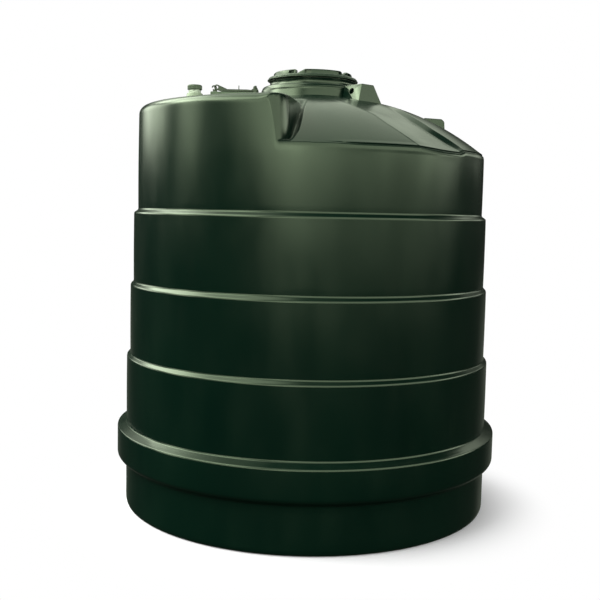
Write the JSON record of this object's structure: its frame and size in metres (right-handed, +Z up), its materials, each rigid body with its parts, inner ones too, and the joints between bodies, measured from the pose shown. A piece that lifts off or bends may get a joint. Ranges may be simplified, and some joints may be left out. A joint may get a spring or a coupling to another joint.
{
  "type": "vertical plastic storage tank",
  "caption": "Vertical moulded plastic storage tank with a stepped wall, a collared base, a domed roof with a fittings platform, a lifting manhole lid and a hinged hatch.",
  "frame": {"origin": "centre of the base, on the ground", "axes": "+Z up; -Y is the front that the picture shows; +X to its right"},
  "size_m": [2.068, 2.068, 2.33],
  "materials": {
    "shell": "dark green moulded polyethylene with a soft semi-gloss skin",
    "lid": "darker green moulded plastic, slightly duller than the shell",
    "hatch": "near-black moulded plastic"
  },
  "bodies": {
    "tank": {"base_floor": "shell", "base_drum_right": "shell", "base_drum_rear": "shell", "base_drum_left": "shell", "base_collar_right": "shell", "base_collar_rear": "shell", "base_collar_left": "shell", "wall_ring_1_right": "shell", "wall_ring_1_rear": "shell", "wall_ring_1_left": "shell", "wall_ring_2_right": "shell", "wall_ring_2_rear": "shell", "wall_ring_2_left": "shell", "wall_ring_3_right": "shell", "wall_ring_3_rear": "shell", "wall_ring_3_left": "shell", "wall_ring_4_right": "shell", "wall_ring_4_rear": "shell", "wall_ring_4_left": "shell", "dome_front": "shell", "dome_right": "shell", "dome_rear": "shell", "valley_front": "shell", "valley_rear": "shell", "dome_left_front": "shell", "dome_left_rear": "shell", "platform_top_front": "shell", "platform_top_rear": "shell", "platform_wall": "shell", "manhole_ring": "shell", "manhole_neck": "shell", "lifting_lug_front": "shell", "lifting_lug_rear": "shell", "edge_lug": "shell", "filler_boss": "shell", "filler_spigot": "shell", "hatch_frame": "shell", "hinge_ear_front": "hatch", "hinge_ear_rear": "hatch", "padlock_eye": "hatch"},
    "manhole_lid": {"manhole_lid": "lid"},
    "filler_cap": {"filler_cap": "lid"},
    "hatch_lid": {"hatch_lid": "hatch", "hatch_stud": "hatch", "hinge_pin": "hatch"}
  },
  "joints": [
    {"name": "manhole_lid_lift", "type": "slide", "parent": "tank", "child": "manhole_lid", "axis": [0, 0, 1], "range_m": [0, 0.25]},
    {"name": "filler_cap_lift", "type": "slide", "parent": "tank", "child": "filler_cap", "axis": [0, 0, 1], "range_m": [0, 0.2]},
    {"name": "hatch_lid_swing", "type": "hinge", "parent": "tank", "child": "hatch_lid", "pos_m": [-0.27, -0.58, 2.166], "axis": [0, 1, 0], "range_deg": [0, 110]}
  ]
}
